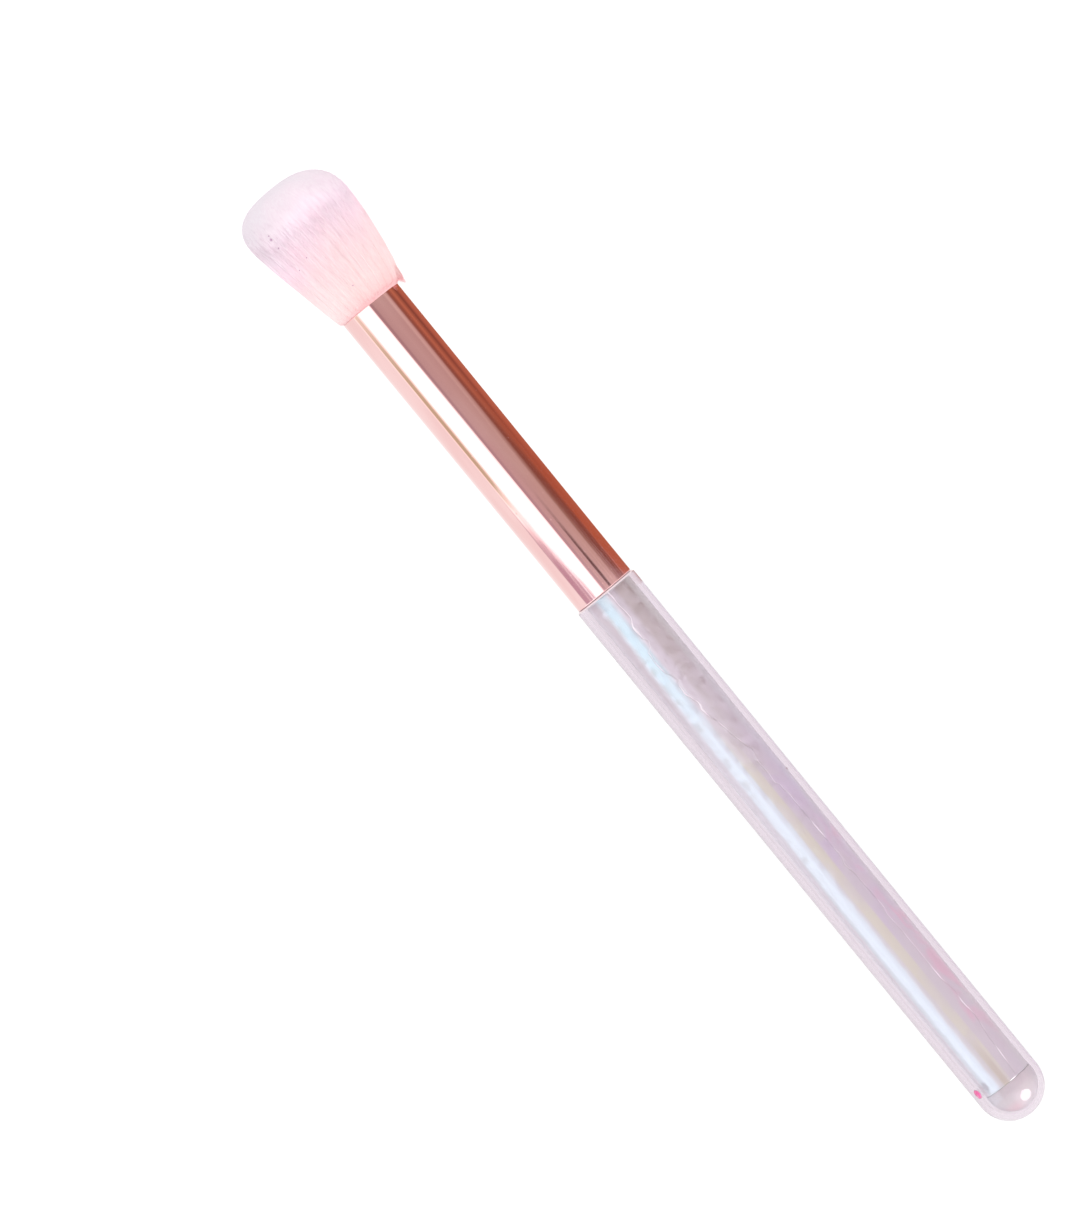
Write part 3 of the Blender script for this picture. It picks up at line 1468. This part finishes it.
    def build_world(self) -> None:
        """Make the soft light: a long window on the +Y side and warm dim cards on the other."""
        world = bpy.data.worlds.new("studio_light")
        bpy.context.scene.world = world
        world.use_nodes = True
        pen = Pen(world.node_tree, self.plan)
        direction = pen.node("TexCoord", {}).outputs["Generated"]
        length, side, height = (
            pen.node("VectorMath", {0: direction, 1: axis.copy()}, operation="DOT_PRODUCT").outputs["Value"]
            for axis in self.plan.matrix.to_3x3().col
        )
        place = pen.math("ADD", length, self.aim[0] + math.sin(self.plan.tilt))
        degrees = pen.times(pen.math("ARCTAN2", side, height), math.degrees(1.0))
        rear_far, rear_near = (self.plan.tube_length - lead for lead in self.ferrule_lead)
        zones = pen.mix(
            pen.span(place, rear_far, rear_near),
            self.beside_tube(pen, place, degrees), self.beside_ferrule(pen, place, degrees),
        )
        ends = pen.span(pen.math("ABSOLUTE", length), *self.window_ends)
        ray = pen.node("LightPath", {}).outputs
        shiny = pen.math("MAXIMUM", ray["Is Glossy Ray"], ray["Is Transmission Ray"])
        light = pen.mix(shiny, self.plain, pen.mix(ends, zones, self.neutral))
        seen = pen.mix(ray["Is Camera Ray"], light, WHITE)
        pen.fill(world.node_tree.nodes["Background"], {"Color": seen})

    def build_spot(self) -> None:
        """Make the round lamp that shows in the handle's round end."""
        lamp = bpy.data.lights.new("round_lamp", "AREA")
        lamp.shape = "DISK"
        lamp.size = self.spot_radius * 2.0
        lamp.energy = self.spot_level * math.pi * math.pi * self.spot_radius**2
        thing = put("round_lamp", lamp)
        toward = Vector(self.spot_direction).normalized()
        thing.location = self.plan.matrix.translation + toward * self.spot_distance
        thing.rotation_euler = toward.to_track_quat("Z", "Y").to_euler()
        thing.visible_diffuse = False

    def build_floor(self) -> None:
        """Make the pale floor that the brush lies on."""
        shape = bmesh.new()
        bmesh.ops.create_grid(shape, x_segments=2, y_segments=2, size=self.floor_size / 2.0)
        floor = put("floor", mesh_of("floor", shape))
        material = bpy.data.materials.new("pale_floor")
        material.use_nodes = True
        pen = Pen(material.node_tree, self.plan)
        ray = pen.node("LightPath", {}).outputs
        through = pen.times(ray["Is Transmission Ray"], self.glass_share)
        seen = pen.math("MAXIMUM", ray["Is Camera Ray"], through)
        pen.shade({
            "Base Color": self.floor_tone, "Roughness": 0.9, "Specular IOR Level": 0.1,
            "Emission Color": WHITE,
            "Emission Strength": pen.math("MULTIPLY_ADD", seen, self.backdrop_lift, self.floor_lift),
        })
        floor.data.materials.append(material)
        floor.location.z = -self.floor_drop
        floor.visible_glossy = False
        floor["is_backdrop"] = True

    def build_camera(self) -> None:
        """Make the camera, which looks straight down along a long lens."""
        data = bpy.data.cameras.new("camera")
        data.sensor_width = self.sensor
        data.lens = self.sensor * self.distance / (self.picture_height * self.pixel)
        data.clip_start, data.clip_end = self.clip
        camera = put("camera", data)
        camera.location = self.plan.matrix.translation + Vector((*self.aim, self.distance))
        camera.rotation_euler = (0.0, 0.0, math.radians(self.roll_degrees))
        bpy.context.scene.camera = camera

    def build(self) -> None:
        """Make the stage."""
        self.build_world()
        self.build_spot()
        self.build_floor()
        self.build_camera()
        bpy.context.scene.view_settings.view_transform = "Standard"


def corners(box: tuple[Vector, Vector]) -> list[list[float]]:
    """Give a box's lowest and highest corner as plain numbers."""
    return [list(corner) for corner in box]


def main() -> None:
    """Dress the brush and set the stage."""
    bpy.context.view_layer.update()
    plan = BrushPlan.from_frame(frame["record"])
    log.info("mouth at %.1f mm, tilt %.2f degrees", plan.ferrule_mouth / MILLIMETRE, math.degrees(plan.tilt))
    Studio(plan).build()
    tube = ClearTube(plan)
    tube.build()
    RolledFilm(plan, tube.bore).build()
    Ferrule(plan).build()
    tuft = Tuft(plan)
    tuft.build()
    Glitter(plan, tuft).build()
    InnerPieces(plan).build()
    bpy.context.view_layer.update()
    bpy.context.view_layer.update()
    for piece in sorted(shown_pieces(), key=lambda one: one.name):
        low = min((piece.matrix_world @ Vector(corner)).z for corner in piece.bound_box)
        log.info("%s: lowest %.3f mm, %d faces", piece.name, low / MILLIMETRE, len(piece.data.polygons))


if __name__ == "__main__":
    main()
